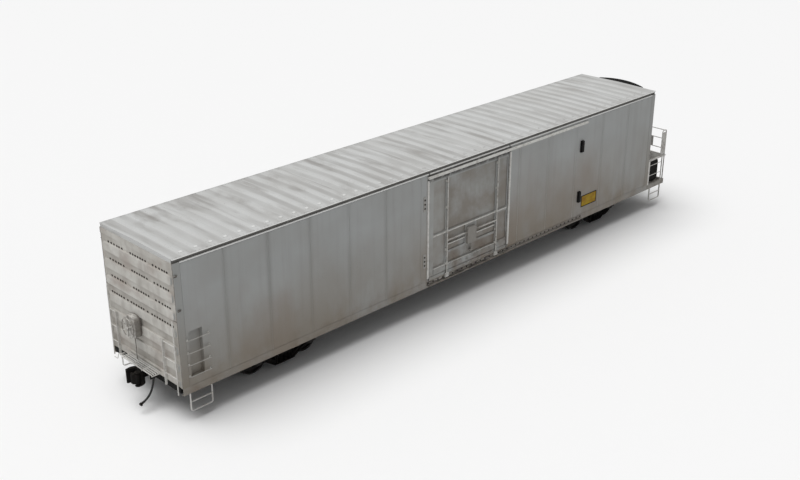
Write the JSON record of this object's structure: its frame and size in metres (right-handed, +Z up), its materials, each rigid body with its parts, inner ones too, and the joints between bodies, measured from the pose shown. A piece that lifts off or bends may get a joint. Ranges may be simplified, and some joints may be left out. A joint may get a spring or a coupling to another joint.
{
  "type": "railroad boxcar",
  "caption": "Insulated railroad boxcar with plug doors, an end refrigeration unit, swivelling two-axle trucks, rolling wheelsets and swinging automatic couplers.",
  "frame": {"origin": "on the centre line, midway between the coupler pulling faces, at the bottom of the wheel flanges", "axes": "+X towards the A end with the refrigeration unit, +Y to the left side, +Z up"},
  "size_m": [22.2666, 3.35, 4.577],
  "materials": {
    "white_paint": "weathered enamel",
    "black_paint": "matt black enamel",
    "cast_black": "as cast, grimy",
    "wheel_steel": "rusty forged steel",
    "hose_rubber": "matt",
    "floor_boards": "dull ribbed floor"
  },
  "bodies": {
    "carbody": {"air_hose_b": "hose_rubber", "body_bolsters": "black_paint", "brake_pipe": "black_paint", "brake_reservoir": "black_paint", "centre_sill": "black_paint", "crossbearers": "black_paint", "cut_levers": "white_paint", "door_headers": "white_paint", "door_locks": "white_paint", "door_posts": "white_paint", "door_sills": "white_paint", "door_stops": "black_paint", "door_tracks": "white_paint", "end_sills": "black_paint", "end_wall_a": "white_paint", "end_wall_b": "white_paint", "floor": "floor_boards", "fuel_tank": "black_paint", "glad_hand_b": "cast_black", "handbrake": "white_paint", "handrails_a": "white_paint", "ladders_a": "white_paint", "ladders_b": "white_paint", "platform_b": "white_paint", "plug_door_left": "white_paint", "plug_door_right": "white_paint", "refrigeration_unit": "black_paint", "roof": "white_paint", "side_sills": "white_paint", "side_wall_left_a": "white_paint", "side_wall_left_b": "white_paint", "side_wall_right_a": "white_paint", "side_wall_right_b": "white_paint", "stirrup_steps": "white_paint", "walkway_a": "white_paint"},
    "truck_b": {"truck_b_bolster": "cast_black", "truck_b_brake_beams": "cast_black", "truck_b_side_frames": "cast_black", "truck_b_springs": "cast_black"},
    "wheelset_b1": {"wheelset_b1": "wheel_steel"},
    "wheelset_b2": {"wheelset_b2": "wheel_steel"},
    "coupler_b": {"coupler_b": "cast_black"},
    "knuckle_b": {"knuckle_b": "cast_black"},
    "truck_a": {"truck_a_bolster": "cast_black", "truck_a_brake_beams": "cast_black", "truck_a_side_frames": "cast_black", "truck_a_springs": "cast_black"},
    "wheelset_a1": {"wheelset_a1": "wheel_steel"},
    "wheelset_a2": {"wheelset_a2": "wheel_steel"},
    "coupler_a": {"coupler_a": "cast_black"},
    "knuckle_a": {"knuckle_a": "cast_black"}
  },
  "joints": [
    {"name": "truck_b_swivel", "type": "hinge", "parent": "carbody", "child": "truck_b", "pos_m": [-7, 0, 0.666], "axis": [0, 0, 1], "range_deg": [-8, 8]},
    {"name": "wheelset_b1_roll", "type": "hinge", "parent": "truck_b", "child": "wheelset_b1", "pos_m": [-7.889, 0, 0.482], "axis": [0, 1, 0], "continuous": true},
    {"name": "wheelset_b2_roll", "type": "hinge", "parent": "truck_b", "child": "wheelset_b2", "pos_m": [-6.111, 0, 0.482], "axis": [0, 1, 0], "continuous": true},
    {"name": "coupler_b_swing", "type": "hinge", "parent": "carbody", "child": "coupler_b", "pos_m": [-10, 0, 0.855], "axis": [0, 0, 1], "range_deg": [-7, 7]},
    {"name": "knuckle_b_open", "type": "hinge", "parent": "coupler_b", "child": "knuckle_b", "pos_m": [-10.985, -0.13, 0.855], "axis": [0, 0, 1], "range_deg": [0, 45]},
    {"name": "truck_a_swivel", "type": "hinge", "parent": "carbody", "child": "truck_a", "pos_m": [7.2, 0, 0.666], "axis": [0, 0, -1], "range_deg": [-8, 8]},
    {"name": "wheelset_a1_roll", "type": "hinge", "parent": "truck_a", "child": "wheelset_a1", "pos_m": [6.311, 0, 0.482], "axis": [0, 1, 0], "continuous": true},
    {"name": "wheelset_a2_roll", "type": "hinge", "parent": "truck_a", "child": "wheelset_a2", "pos_m": [8.089, 0, 0.482], "axis": [0, 1, 0], "continuous": true},
    {"name": "coupler_a_swing", "type": "hinge", "parent": "carbody", "child": "coupler_a", "pos_m": [10, 0, 0.855], "axis": [0, 0, -1], "range_deg": [-7, 7]},
    {"name": "knuckle_a_open", "type": "hinge", "parent": "coupler_a", "child": "knuckle_a", "pos_m": [10.985, 0.13, 0.855], "axis": [0, 0, 1], "range_deg": [0, 45]}
  ]
}
